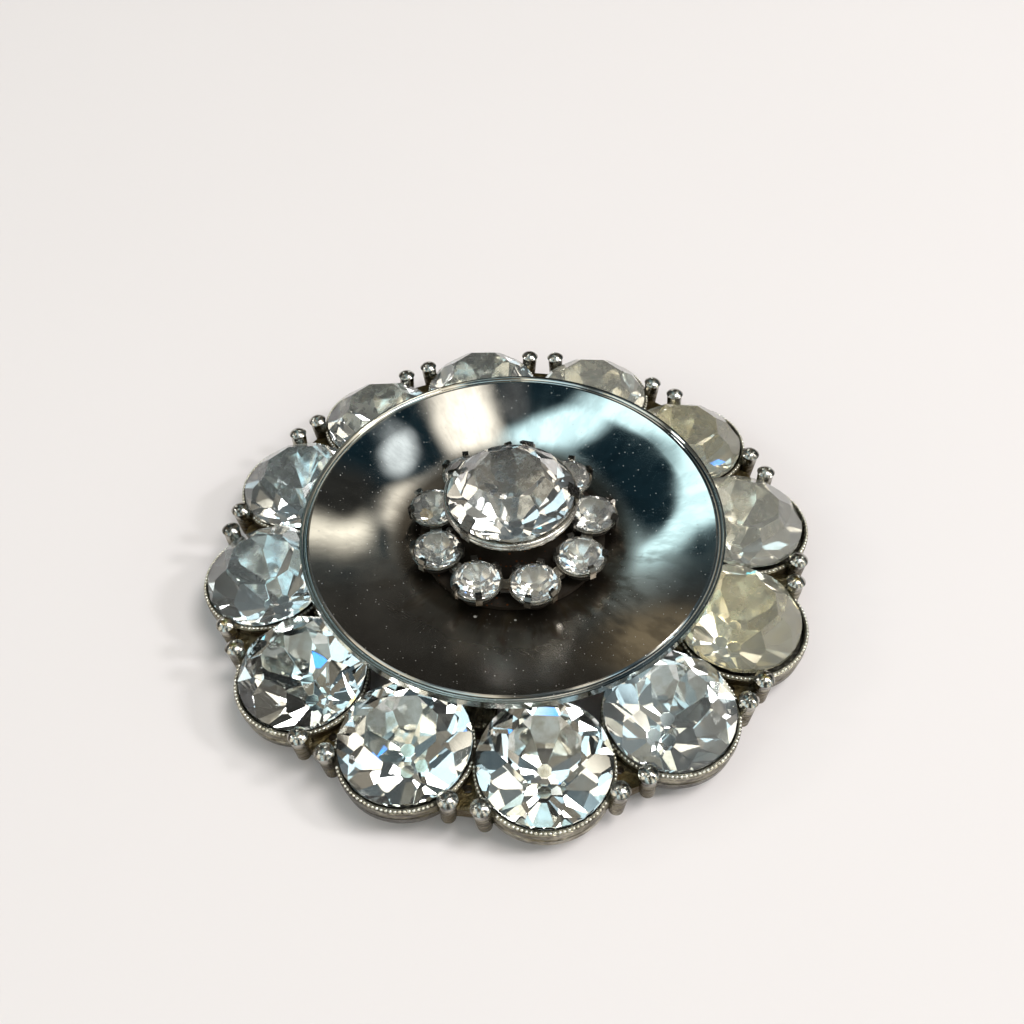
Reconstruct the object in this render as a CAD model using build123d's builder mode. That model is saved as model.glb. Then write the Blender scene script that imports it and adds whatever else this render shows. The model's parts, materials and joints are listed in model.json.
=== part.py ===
from build123d import *
import math
import os

# Rhinestone brooch lying on its back: twelve large stones in a cast ring, a domed dish over the hub,
# a rosette of nine small stones in the dish and one raised stone in the middle.
# Millimetres, +Z up. The origin is on the surface that the brooch lies on, under the middle of its outline.

# Large stones
large_count = 12
large_radius = 6.0
large_gap = 0.39
large_band = 0.25
large_crown = 2.45
large_pavilion = 4.65
large_lean = 4.5

# Ring of cups
first_azimuth = -85.7
seat_offset = 0.2
seat_clearance = 0.4
girdle_clearance = 0.1
culet_gap = 0.17
foot_floor = 0.3
foot_radius = 2.6
skirt_height = 2.2
skirt_inner_radius = 4.2
skirt_radius = 6.1
rim_radius = 6.34
rim_drop = 0.5
rim_slope_width = 0.29
rim_slope_height = 0.25
rim_lip = 0.1
ledge_drop = 0.85
ledge_radius = 5.75
groove_depth = 0.1
groove_height = 0.5

# How far the hand work strays, and the share of it at each cup and stone (outward, then anticlockwise)
cup_stray = 0.3
cup_stray_shares = [
    (0.6, 0.6), (-1.0, 0.4), (0.0, -0.2), (0.8, -0.35), (0.3, 0.35), (-0.9, 0.5),
    (0.1, 0.5), (0.3, 0.2), (0.0, -0.3), (0.7, -0.5), (-0.3, 0.2), (-0.5, 0.5),
]
stone_stray = 0.25
stone_stray_shares = [
    (0.2, 0.0), (0.0, -0.2), (0.0, 0.1), (0.2, 0.4), (0.1, 0.6), (0.0, 0.0),
    (0.0, 0.0), (0.0, 0.0), (-0.3, 0.3), (-0.5, 0.9), (-1.0, 0.7), (0.1, -0.2),
]
facet_turns = [35.7, 22.7, 23.2, 32.2, 20.2, 6.2, 36.2, 21.2, 6.2, 27.7, 20.8, 10.2]

# Round prongs
prong_angle = 58.6
prong_reach = 7.03
prong_foot_reach = 6.7
prong_rise = 1.0
prong_foot_radius = 0.7
prong_radius = 0.83
cap_radius = 0.92
cap_height = 0.62
cap_dome = 0.45
dimple_radius = 0.2
dimple_offset = 0.34

# Webs, arms and hub
plate_bottom = 2.4
plate_thickness = 1.2
web_inner_run = 1.3
web_outer_run = 4.6
web_inner_width = 1.6
web_outer_width = 4.4
web_hole_run = 2.55
web_hole_radius = 0.4
hub_gap = 4.0
arm_rise = 0.9
arm_inner_width = 2.3
arm_outer_width = 3.3
arm_tail_run = 3.0
rib_count = 5
rib_radius = 0.3
rib_spread = 3.2
rib_fan_radius = 9.0
boss_radius = 5.0

# Dish and the pieces in it stand a little off the ring's own middle
upper_x = 0.40
upper_y = 0.15
dish_radius = 20.79
dish_clearance = 0.75
dish_sheet = 0.55
dish_depth = 3.0
lip_thickness = 0.2
lip_height = 0.28
ledge_width = 0.72
stack_gap = 0.06

# Rosette
small_count = 9
small_radius = 2.25
small_gap = 0.96
small_band = 0.12
small_crown = 0.85
small_pavilion = 1.6
small_first_azimuth = 162.7
small_height = 2.5
small_seat_clearance = 0.18
small_girdle_clearance = 0.1
small_wall = 0.25
small_rim_drop = 0.16
small_foot_radius = 1.5
small_prong_angle = 31.0
small_prong_width = 0.62
small_prong_thickness = 0.28
small_prong_fold = 0.34
small_prong_gap = 0.08
rosette_margin = 1.2
rosette_thickness = 0.5
lug_width = 1.1
lug_height = 0.7
lug_drop = 0.9

# Centre stone and its setting
centre_radius = 6.1
centre_band = 0.25
centre_crown = 2.5
centre_pavilion = 4.7
centre_rise = 4.2
centre_lean = 1.2
centre_lean_azimuth = 130.0
centre_facet_turn = 8.0
centre_seat_clearance = 0.35
centre_girdle_clearance = 0.13
centre_wall = 0.55
centre_rim_radius = 6.5
centre_rim_drop = 0.2
wire_diameter = 0.42
tab_azimuths = [226.0, 352.0, 150.0, 72.0]
tab_width = 1.1
tab_thickness = 0.32
tab_fold = 0.75
tab_gap = 0.22
stem_radius = 1.2
stem_clearance = 0.08
rivet_head_radius = 2.1
rivet_head_height = 0.6

# Pin back
pin_y = 6.5
pin_gap = 0.08
pin_bar_length = 30.0
pin_bar_width = 4.0
pin_bar_thickness = 0.55
pin_block_length = 2.6
pin_block_width = 2.8
pin_block_inset = 2.6
pin_block_height = 1.35
pin_wire_diameter = 0.8
pin_tip_overhang = 1.6

# Cut of the stones: eight facets a tier, slopes in degrees, reaches as shares of the girdle's radius
facet_count = 8
main_slope = 38.0
main_reach = 1.04
break_slope = 52.0
break_reach = 0.99
pavilion_slope = 40.5
pavilion_reach = 1.01
lower_slope = 45.0
lower_reach = 0.985
large_sides = 32
small_sides = 16

os.makedirs("parts", exist_ok=True)

# Heights worked out upwards from the surface
lean = math.radians(large_lean)
large_depth = large_pavilion + large_band / 2
girdle_height = foot_floor + culet_gap + large_depth * math.cos(lean)
rim_height = girdle_height - rim_drop
prong_top = girdle_height + prong_rise
plate_top = plate_bottom + plate_thickness
table_radius = large_radius * main_reach - large_crown / math.tan(math.radians(main_slope))
table_top = girdle_height + (large_band / 2 + large_crown) * math.cos(lean) + table_radius * math.sin(lean)
dish_rim_height = table_top + dish_clearance + dish_sheet
bowl_edge = dish_radius - lip_thickness - ledge_width
bowl_curve = (bowl_edge ** 2 + dish_depth ** 2) / (2 * dish_depth)
bowl_floor = dish_rim_height - dish_depth - lip_height / 2

# Places worked out from the ring
ring_radius = (large_radius + large_gap / 2) / math.sin(math.pi / large_count)
cup_circle = ring_radius + seat_offset
step = 360 / large_count
hub_radius = cup_circle - skirt_radius - hub_gap
small_ring = (small_radius + small_gap / 2) / math.sin(math.pi / small_count)


def polar(radius, azimuth):
    """X and Y of a point at a radius and an azimuth in degrees."""
    return radius * math.cos(math.radians(azimuth)), radius * math.sin(math.radians(azimuth))


def cup_from_middle(number):
    """X and Y of a cup's axis from the middle of the ring, with its shares of the stray."""
    azimuth = first_azimuth - number * step
    outward, sideways = cup_stray_shares[number % len(cup_stray_shares)]
    x, y = polar(cup_circle + outward * cup_stray, azimuth)
    side_x, side_y = polar(sideways * cup_stray, azimuth + 90)
    return x + side_x, y + side_y


def outline_middle(discs):
    """Middle of the box round discs given as X, Y and radius."""
    left, right = min(x - r for x, y, r in discs), max(x + r for x, y, r in discs)
    low, high = min(y - r for x, y, r in discs), max(y + r for x, y, r in discs)
    return (left + right) / 2, (low + high) / 2


def upright_plane(x, y, azimuth):
    """Vertical plane through X, Y whose own X points at the azimuth and whose own Y is up."""
    across = polar(1, azimuth)
    return Plane(origin=(x, y, 0), x_dir=(*across, 0), z_dir=(across[1], -across[0], 0))


def level_plane(x, y, z, azimuth):
    """Level plane at X, Y, Z whose own X points at the azimuth."""
    return Plane(origin=(x, y, z), x_dir=(*polar(1, azimuth), 0), z_dir=(0, 0, 1))


def leaning_plane(x, y, z, azimuth, tilt, turn):
    """Seat of a stone: leans down towards the azimuth by the tilt and is turned about its own axis."""
    out = polar(1, azimuth)
    drop = math.sin(math.radians(tilt))
    flat = math.cos(math.radians(tilt))
    axis = Axis((x, y, z), (out[0] * drop, out[1] * drop, flat))
    outward = Vector(out[0] * flat, out[1] * flat, -drop)
    return Plane(origin=(x, y, z), x_dir=outward.rotate(axis, turn), z_dir=axis.direction)


# The cups and prongs, and how far the ring moves to put the middle of the outline on the origin
ring_discs = [(*cup_from_middle(n), rim_radius) for n in range(large_count)]
ring_middle = outline_middle(ring_discs)
ring_x, ring_y = -ring_middle[0], -ring_middle[1]
cup_azimuths = [first_azimuth - n * step for n in range(large_count)]
cup_places = [(x + ring_x, y + ring_y) for x, y, _ in ring_discs]
upper_middle = (ring_x + upper_x, ring_y + upper_y)


def cup_relative(number, radius, angle):
    """X and Y at a radius from the axis of a cup, at an angle from its outward direction."""
    x, y = polar(radius, cup_azimuths[number] + angle)
    return cup_places[number][0] + x, cup_places[number][1] + y


def large_seat(number, turn):
    """Plane of the girdle of a large stone, strayed from the middle of its cup by its shares of the stray."""
    azimuth = cup_azimuths[number]
    outward, sideways = stone_stray_shares[number % len(stone_stray_shares)]
    x, y = cup_places[number]
    shift_x, shift_y = polar(outward * stone_stray - seat_offset, azimuth)
    side_x, side_y = polar(sideways * stone_stray, azimuth + 90)
    x += shift_x + side_x
    y += shift_y + side_y
    return leaning_plane(x, y, girdle_height, azimuth, large_lean, turn)


def bowl_height(radius, lift=0):
    """Height of the bowl of the dish at a radius, or of a surface that runs lift above it."""
    curve = bowl_curve - lift
    return bowl_floor + bowl_curve - math.sqrt(curve ** 2 - radius ** 2)


def facet_plane(azimuth, slope, reach, height):
    """Plane of a facet that meets the given height at its reach from the axis; the slope is from level."""
    side = math.sin(math.radians(slope))
    return Plane(
        origin=(*polar(reach, azimuth), height),
        z_dir=(*polar(side, azimuth), math.cos(math.radians(slope))),
    )


def cut_stone(radius, band, crown, pavilion, sides):
    """Round stone about +Z with the middle of its girdle at the origin, cut facet by facet."""
    half = band / 2
    turn = 360 / facet_count
    with BuildPart() as stone:
        with BuildSketch(Plane.XY.offset(-half - pavilion)):
            RegularPolygon(radius, sides)
        extrude(amount=pavilion + band + crown)
        for facet in range(facet_count):
            main = facet * turn
            between = main + turn / 2
            split(bisect_by=facet_plane(main, main_slope, radius * main_reach, half), keep=Keep.BOTTOM)
            split(bisect_by=facet_plane(between, break_slope, radius * break_reach, half), keep=Keep.BOTTOM)
            split(
                bisect_by=facet_plane(main, 180 - pavilion_slope, radius * pavilion_reach, -half),
                keep=Keep.BOTTOM,
            )
            split(
                bisect_by=facet_plane(between, 180 - lower_slope, radius * lower_reach, -half),
                keep=Keep.BOTTOM,
            )
    return stone.part


def write(built, label):
    """Names a finished piece and writes it."""
    built.part.label = label
    export_step(built.part, f"parts/{label}.step")


# One cup about its own axis, still without its seat
with BuildPart() as cup:
    with BuildSketch(Plane.XZ):
        with BuildLine():
            wall_top = rim_height - rim_slope_height
            groove_middle = (skirt_height + wall_top) / 2
            groove_radius = (skirt_radius + rim_radius) / 2
            Polyline(
                (0, 0),
                (foot_radius, 0),
                (skirt_inner_radius, skirt_height),
                (skirt_radius, skirt_height),
                (groove_radius, groove_middle - groove_height / 2),
                (groove_radius - groove_depth, groove_middle),
                (groove_radius + groove_depth, groove_middle + groove_height / 2),
                (rim_radius, wall_top),
                (rim_radius - rim_slope_width, rim_height),
                (rim_radius - rim_slope_width - rim_lip, rim_height - rim_lip / 2),
                (ledge_radius, rim_height - ledge_drop),
                (0, rim_height - ledge_drop),
                close=True,
            )
        make_face()
    revolve(axis=Axis.Z)

# One round prong standing on its foot, with a domed head that has two small dimples
prong_tilt = math.atan2(prong_reach - prong_foot_reach, prong_top - skirt_height)
prong_length = (prong_top - skirt_height) / math.cos(prong_tilt)
cap_bottom = prong_length - cap_height
dome_curve = (cap_radius ** 2 + cap_dome ** 2) / (2 * cap_dome)
dome_middle = prong_length - dome_curve + math.sqrt(dome_curve ** 2 - (cap_radius / 2) ** 2)
with BuildPart() as prong:
    with BuildSketch(Plane.XZ):
        with BuildLine():
            Polyline(
                (0, prong_length),
                (0, 0),
                (prong_foot_radius, 0),
                (prong_radius, cap_bottom),
                (cap_radius, prong_length - cap_dome),
            )
            ThreePointArc(
                (cap_radius, prong_length - cap_dome),
                (cap_radius / 2, dome_middle),
                (0, prong_length),
            )
        make_face()
    revolve(axis=Axis.Z)
    with Locations((dimple_offset, 0, prong_length), (-dimple_offset, 0, prong_length)):
        Sphere(dimple_radius, mode=Mode.SUBTRACT)

prong_feet = []
for n in range(large_count):
    for side in (-prong_angle, prong_angle):
        foot = cup_relative(n, prong_foot_reach, side)
        out = polar(math.sin(prong_tilt), cup_azimuths[n] + side)
        prong_feet.append(Plane(origin=(*foot, skirt_height), x_dir=(*polar(1, 40.0 * n), 0),
                                z_dir=(*out, math.cos(prong_tilt))))

# One arm from the hub to the walls of two neighbouring cups, along +X, with its ribs fanned out
junction_radius = cup_circle * math.cos(math.pi / large_count)
arm_end = junction_radius - arm_tail_run
arm_top = plate_top + arm_rise
with BuildPart() as arm:
    with BuildSketch(Plane.XY.offset(plate_bottom)):
        Polygon(
            (hub_radius - 1, -arm_inner_width / 2),
            (arm_end, -arm_outer_width / 2),
            (arm_end, arm_outer_width / 2),
            (hub_radius - 1, arm_inner_width / 2),
            align=None,
        )
    extrude(amount=arm_top - rib_radius - plate_bottom)
    for rib in range(rib_count):
        angle = (rib - (rib_count - 1) / 2) * rib_spread
        direction = (*polar(1, angle), 0)
        start = rib_fan_radius + (hub_radius - rib_fan_radius) / math.cos(math.radians(angle))
        root = polar(start - rib_fan_radius, angle)
        rib_start = (rib_fan_radius + root[0], root[1], arm_top - rib_radius)
        with BuildSketch(Plane(origin=rib_start, z_dir=direction)):
            Circle(rib_radius)
        extrude(amount=arm_end - hub_radius)

# The hollow that a large stone sits in, about the stone's own axis
seat_slope = math.radians(pavilion_slope)
culet_radius = pavilion_reach * large_radius - large_pavilion / math.tan(seat_slope)
seat_bottom = -large_depth - culet_gap
with BuildPart() as seat:
    with BuildSketch(Plane.XZ):
        with BuildLine():
            Polyline(
                (0, seat_bottom),
                (culet_radius + seat_clearance, seat_bottom),
                (large_radius + girdle_clearance, -large_band / 2),
                (large_radius + girdle_clearance, large_band / 2),
                (0, large_band / 2),
                close=True,
            )
        make_face()
    revolve(axis=Axis.Z)

# Frame: cups, prongs, webs, arms and hub as one solid, with the seats cut last
junction_azimuths = [azimuth - step / 2 for azimuth in cup_azimuths]
with BuildPart() as frame:
    with BuildSketch(level_plane(ring_x, ring_y, plate_bottom, 0)):
        Circle(hub_radius)
    extrude(amount=plate_thickness)
    with BuildSketch(level_plane(*upper_middle, plate_top, 0)):
        Circle(boss_radius)
    extrude(amount=bowl_height(0) - dish_sheet - stack_gap - plate_top)
    for azimuth in junction_azimuths:
        with BuildSketch(level_plane(ring_x, ring_y, plate_bottom, azimuth)):
            Polygon(
                (junction_radius - web_inner_run, -web_inner_width / 2),
                (junction_radius + web_outer_run, -web_outer_width / 2),
                (junction_radius + web_outer_run, web_outer_width / 2),
                (junction_radius - web_inner_run, web_inner_width / 2),
                align=None,
            )
            with Locations((junction_radius + web_hole_run, 0)):
                Circle(web_hole_radius, mode=Mode.SUBTRACT)
        extrude(amount=plate_thickness)
    arm_azimuths = junction_azimuths[::2]
    with Locations(*[level_plane(ring_x, ring_y, 0, azimuth) for azimuth in arm_azimuths]):
        add(arm.part)
    with Locations(*[level_plane(*cup_places[n], 0, cup_azimuths[n]) for n in range(large_count)]):
        add(cup.part)
    with Locations(*prong_feet):
        add(prong.part)
    with Locations(*[large_seat(n, 0) for n in range(large_count)]):
        add(seat.part, mode=Mode.SUBTRACT)
    with BuildSketch(level_plane(*upper_middle, 0, 0)):
        Circle(stem_radius + stem_clearance)
    extrude(amount=bowl_floor, mode=Mode.SUBTRACT)
write(frame, "frame")

# Large stones
large_cut = cut_stone(large_radius, large_band, large_crown, large_pavilion, large_sides)
for n in range(large_count):
    with BuildPart(large_seat(n, facet_turns[n % len(facet_turns)])) as large_stone:
        add(large_cut)
    write(large_stone, f"stone_{n + 1:02d}")

# Dish: a thin bowl with an upturned lip and a flat ledge inside it
ledge_top = dish_rim_height - lip_height
with BuildPart() as dish:
    with BuildSketch(upright_plane(*upper_middle, 0)):
        with BuildLine():
            Polyline(
                (bowl_edge, bowl_height(bowl_edge)),
                (bowl_edge + lip_thickness, ledge_top),
                (dish_radius - lip_thickness, ledge_top),
                (dish_radius - lip_thickness, dish_rim_height),
                (dish_radius, dish_rim_height),
                (dish_radius, ledge_top - dish_sheet),
                (bowl_edge, bowl_height(bowl_edge, -dish_sheet)),
            )
            ThreePointArc(
                (bowl_edge, bowl_height(bowl_edge, -dish_sheet)),
                (bowl_edge / 2, bowl_height(bowl_edge / 2, -dish_sheet)),
                (0, bowl_height(0, -dish_sheet)),
            )
            Line((0, bowl_height(0, -dish_sheet)), (0, bowl_floor))
            ThreePointArc(
                (0, bowl_floor),
                (bowl_edge / 2, bowl_height(bowl_edge / 2)),
                (bowl_edge, bowl_height(bowl_edge)),
            )
        make_face()
    revolve(axis=Axis((*upper_middle, 0), (0, 0, 1)))
    with BuildSketch(level_plane(*upper_middle, 0, 0)):
        Circle(stem_radius + stem_clearance)
    extrude(amount=dish_rim_height, mode=Mode.SUBTRACT)
write(dish, "dish")

# Rosette: a base that follows the bowl, with nine small cups on it
small_girdle = bowl_height(small_ring) + small_height
small_rim = small_girdle - small_rim_drop
small_wall_radius = small_radius + small_wall
rosette_radius = small_ring + rosette_margin
small_azimuths = [small_first_azimuth + n * 360 / small_count for n in range(small_count)]


def small_place(number):
    """X and Y of a small stone's axis."""
    x, y = polar(small_ring, small_azimuths[number])
    return upper_middle[0] + x, upper_middle[1] + y


# One small cup about its own axis, with its four folded prongs and without its seat
small_bottom = bowl_height(small_ring + small_foot_radius, stack_gap)
fold_height = small_girdle + small_band / 2 + small_prong_fold + small_prong_gap
with BuildPart() as small_cup:
    with BuildSketch(Plane.XZ):
        with BuildLine():
            Polyline(
                (0, small_bottom),
                (small_foot_radius, small_bottom),
                (small_wall_radius, small_rim),
                (0, small_rim),
                close=True,
            )
        make_face()
    revolve(axis=Axis.Z)
    for angle in (-small_prong_angle, small_prong_angle, 180 - small_prong_angle, 180 + small_prong_angle):
        with BuildSketch(upright_plane(0, 0, angle)):
            inside = small_radius + small_girdle_clearance
            Polygon(
                (inside, small_rim - lug_height),
                (inside + small_prong_thickness, small_rim - lug_height / 2),
                (inside + small_prong_thickness, fold_height),
                (inside, fold_height + small_prong_thickness),
                (inside - small_prong_fold, fold_height + small_prong_thickness),
                (inside - small_prong_fold, fold_height),
                (inside, fold_height - small_prong_fold),
                align=None,
            )
        extrude(amount=small_prong_width / 2, both=True)

with BuildPart() as small_seat:
    with BuildSketch(Plane.XZ):
        with BuildLine():
            small_slope = math.radians(pavilion_slope)
            small_culet = pavilion_reach * small_radius - small_pavilion / math.tan(small_slope)
            small_floor = small_girdle - small_band / 2 - small_pavilion - small_seat_clearance
            Polyline(
                (0, small_floor),
                (small_culet + small_seat_clearance, small_floor),
                (small_radius + small_girdle_clearance, small_girdle - small_band / 2),
                (small_radius + small_girdle_clearance, small_girdle + small_band / 2),
                (0, small_girdle + small_band / 2),
                close=True,
            )
        make_face()
    revolve(axis=Axis.Z)

with BuildPart() as rosette:
    with BuildSketch(upright_plane(*upper_middle, 0)):
        with BuildLine():
            rosette_low = stack_gap
            rosette_high = stack_gap + rosette_thickness
            ThreePointArc(
                (0, bowl_height(0, rosette_low)),
                (rosette_radius / 2, bowl_height(rosette_radius / 2, rosette_low)),
                (rosette_radius, bowl_height(rosette_radius, rosette_low)),
            )
            Line(
                (rosette_radius, bowl_height(rosette_radius, rosette_low)),
                (rosette_radius, bowl_height(rosette_radius, rosette_high)),
            )
            ThreePointArc(
                (rosette_radius, bowl_height(rosette_radius, rosette_high)),
                (rosette_radius / 2, bowl_height(rosette_radius / 2, rosette_high)),
                (0, bowl_height(0, rosette_high)),
            )
            Line((0, bowl_height(0, rosette_high)), (0, bowl_height(0, rosette_low)))
        make_face()
    revolve(axis=Axis((*upper_middle, 0), (0, 0, 1)))
    with Locations(*[level_plane(*small_place(n), 0, small_azimuths[n]) for n in range(small_count)]):
        add(small_cup.part)
    lug_length = 2 * small_ring * math.sin(math.pi / small_count) - 2 * small_radius
    for azimuth in small_azimuths:
        between = azimuth + 180 / small_count
        lug_x, lug_y = polar(small_ring * math.cos(math.pi / small_count), between)
        lug_middle = (upper_middle[0] + lug_x, upper_middle[1] + lug_y, small_rim - lug_drop)
        with BuildSketch(level_plane(*lug_middle, between)):
            Rectangle(lug_width, lug_length)
        extrude(amount=lug_height)
    with Locations(*[level_plane(*small_place(n), 0, small_azimuths[n]) for n in range(small_count)]):
        add(small_seat.part, mode=Mode.SUBTRACT)
    with BuildSketch(level_plane(*upper_middle, 0, 0)):
        Circle(stem_radius + stem_clearance)
    extrude(amount=small_rim, mode=Mode.SUBTRACT)
write(rosette, "rosette")

# Small stones
small_cut = cut_stone(small_radius, small_band, small_crown, small_pavilion, small_sides)
for n in range(small_count):
    turned = small_azimuths[n] + facet_turns[n % len(facet_turns)]
    with BuildPart(level_plane(*small_place(n), small_girdle, turned)) as small_stone:
        add(small_cut)
    write(small_stone, f"small_stone_{n + 1}")

# Centre setting: a conical cup with two wires round its rim, four flat prongs and a riveted stem
centre_girdle = small_girdle + centre_rise
centre_rim = centre_girdle - centre_rim_drop
wire_radius = wire_diameter / 2
wire_bottom = centre_rim - 2 * wire_diameter
centre_slope = math.radians(pavilion_slope)
centre_culet = pavilion_reach * centre_radius - centre_pavilion / math.tan(centre_slope)
centre_depth = centre_band / 2 + centre_pavilion
cone_bottom = centre_girdle - centre_depth - centre_seat_clearance - centre_wall
stem_bottom = plate_bottom - pin_gap - rivet_head_height
centre_turn = centre_facet_turn - centre_lean_azimuth
centre_plane = leaning_plane(*upper_middle, centre_girdle, centre_lean_azimuth, centre_lean, centre_turn)
with BuildPart() as centre_seat:
    with BuildSketch(Plane.XZ):
        with BuildLine():
            Polyline(
                (0, -centre_depth - centre_seat_clearance),
                (centre_culet + centre_seat_clearance, -centre_depth - centre_seat_clearance),
                (centre_radius + centre_girdle_clearance, -centre_band / 2),
                (centre_radius + centre_girdle_clearance, centre_band / 2),
                (0, centre_band / 2),
                close=True,
            )
        make_face()
    revolve(axis=Axis.Z)

with BuildPart() as centre_setting:
    with BuildSketch(upright_plane(*upper_middle, 0)):
        with BuildLine():
            Polyline(
                (0, stem_bottom),
                (rivet_head_radius, stem_bottom),
                (rivet_head_radius, stem_bottom + rivet_head_height),
                (stem_radius, stem_bottom + rivet_head_height),
                (stem_radius, cone_bottom),
                (centre_culet + centre_wall, cone_bottom),
                (centre_rim_radius - wire_radius, wire_bottom),
            )
            ThreePointArc(
                (centre_rim_radius - wire_radius, wire_bottom),
                (centre_rim_radius, wire_bottom + wire_radius),
                (centre_rim_radius - wire_radius, wire_bottom + wire_diameter),
            )
            ThreePointArc(
                (centre_rim_radius - wire_radius, wire_bottom + wire_diameter),
                (centre_rim_radius, wire_bottom + wire_diameter + wire_radius),
                (centre_rim_radius - wire_radius, centre_rim),
            )
            Polyline(
                (centre_rim_radius - wire_radius, centre_rim),
                (0, centre_rim),
                (0, stem_bottom),
            )
        make_face()
    revolve(axis=Axis((*upper_middle, 0), (0, 0, 1)))
    for azimuth in tab_azimuths:
        tab_inside = centre_radius + centre_girdle_clearance
        tab_outside = tab_inside + tab_thickness
        tab_tip = tab_inside - tab_fold
        crown_rise = (centre_radius * main_reach - tab_tip) * math.tan(math.radians(main_slope))
        tab_tip_height = centre_girdle + centre_band / 2 + crown_rise + tab_gap
        with BuildSketch(upright_plane(*upper_middle, azimuth)):
            Polygon(
                (tab_inside, wire_bottom),
                (tab_outside, wire_bottom),
                (tab_outside, centre_girdle + centre_band + tab_gap),
                (tab_tip, tab_tip_height + tab_thickness),
                (tab_tip, tab_tip_height),
                (tab_inside, centre_girdle + centre_band / 2 + tab_gap),
                align=None,
            )
        extrude(amount=tab_width / 2, both=True)
    with Locations(centre_plane):
        add(centre_seat.part, mode=Mode.SUBTRACT)
write(centre_setting, "centre_setting")

# Centre stone
with BuildPart(centre_plane) as centre_stone:
    add(cut_stone(centre_radius, centre_band, centre_crown, centre_pavilion, large_sides))
write(centre_stone, "centre_stone")

# Pin back: a bar under the hub with a knuckle block, a catch block and the pin between them
pin_bar_bottom = plate_bottom - pin_gap - pin_bar_thickness
pin_block_x = pin_bar_length / 2 - pin_block_inset
pin_wire_z = pin_bar_bottom - pin_block_height + pin_wire_diameter / 2
with BuildPart() as pin_back:
    with BuildSketch(level_plane(*upper_middle, pin_bar_bottom, 0)):
        with Locations((0, pin_y)):
            RectangleRounded(pin_bar_length, pin_bar_width, pin_bar_width / 2 - pin_gap)
    extrude(amount=pin_bar_thickness)
    with BuildSketch(level_plane(*upper_middle, pin_bar_bottom, 0)):
        with Locations((-pin_block_x, pin_y), (pin_block_x, pin_y)):
            Rectangle(pin_block_length, pin_block_width)
    extrude(amount=-pin_block_height)
    wire_start = upper_middle[0] + pin_block_x
    with BuildSketch(Plane(origin=(wire_start, upper_middle[1] + pin_y, pin_wire_z), z_dir=(-1, 0, 0))):
        Circle(pin_wire_diameter / 2)
    extrude(amount=2 * pin_block_x + pin_tip_overhang)
write(pin_back, "pin_back")
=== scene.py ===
# %% [markdown]
# # A rhinestone brooch, dressed in Blender
# The metal and the glass are already solids, made in CAD. Here they get their finishes, the silver foil behind
# each stone and the row of tiny beads round each cup, and then a floor, soft light and a camera.

import json
import math

import bpy
from mathutils import Matrix, Vector

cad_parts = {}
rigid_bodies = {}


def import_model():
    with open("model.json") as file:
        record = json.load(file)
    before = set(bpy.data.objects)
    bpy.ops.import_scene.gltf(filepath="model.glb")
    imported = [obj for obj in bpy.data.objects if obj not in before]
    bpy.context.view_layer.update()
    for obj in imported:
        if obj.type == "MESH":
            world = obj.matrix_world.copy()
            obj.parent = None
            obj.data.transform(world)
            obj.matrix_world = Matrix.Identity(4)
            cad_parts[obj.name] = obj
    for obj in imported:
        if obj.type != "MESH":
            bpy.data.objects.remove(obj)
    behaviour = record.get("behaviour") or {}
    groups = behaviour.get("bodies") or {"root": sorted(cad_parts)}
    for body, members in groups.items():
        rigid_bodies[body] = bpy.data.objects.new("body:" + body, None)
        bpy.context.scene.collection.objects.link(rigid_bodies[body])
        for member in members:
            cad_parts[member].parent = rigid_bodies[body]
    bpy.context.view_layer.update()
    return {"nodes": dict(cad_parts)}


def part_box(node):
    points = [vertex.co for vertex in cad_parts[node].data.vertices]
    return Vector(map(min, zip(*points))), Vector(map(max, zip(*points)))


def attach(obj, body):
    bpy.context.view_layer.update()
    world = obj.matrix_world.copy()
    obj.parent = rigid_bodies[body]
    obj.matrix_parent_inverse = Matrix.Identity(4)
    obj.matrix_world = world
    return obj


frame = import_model()
nodes = frame["nodes"]

# %% [markdown]
# The brooch is about 61 mm across, and Blender works in metres. Lengths below are written in millimetres, as a
# jeweller would give them, and multiplied by one small constant. The twelve cups of the cast ring don't stand
# quite evenly: each strays a little outwards and sideways, by its two shares of the stray.

# %% Lengths of the real brooch
MM = 0.001
cup_count = 12
cup_step = 360 / cup_count
first_azimuth = -85.7
cup_circle = 24.136
cup_stray = 0.3
cup_stray_shares = [
    (0.6, 0.6), (-1.0, 0.4), (0.0, -0.2), (0.8, -0.35), (0.3, 0.35), (-0.9, 0.5),
    (0.1, 0.5), (0.3, 0.2), (0.0, -0.3), (0.7, -0.5), (-0.3, 0.2), (-0.5, 0.5),
]
ring_middle = Vector((0.01327, 0.07366))


def polar(radius, azimuth):
    """A flat vector of that length, at an azimuth in degrees."""
    return Vector((radius * math.cos(math.radians(azimuth)), radius * math.sin(math.radians(azimuth))))


def cup_place(number):
    """X and Y of the axis of a cup in millimetres."""
    azimuth = first_azimuth - number * cup_step
    outward, sideways = cup_stray_shares[number]
    even_place = ring_middle + polar(cup_circle + outward * cup_stray, azimuth)
    return even_place + polar(sideways * cup_stray, azimuth + 90)


print("first cup at", [round(v, 2) for v in cup_place(0)])

# %% [markdown]
# Operators in Blender act on whatever is selected. These helpers select one piece, and in edit mode the faces
# that a rule picks out by their place or by the way they look.

# %% Selecting
def select_only(piece):
    """Deselects everything else and makes the piece active."""
    if bpy.context.object and bpy.context.object.mode != "OBJECT":
        bpy.ops.object.mode_set(mode="OBJECT")
    bpy.ops.object.select_all(action="DESELECT")
    piece.select_set(True)
    bpy.context.view_layer.objects.active = piece


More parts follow.
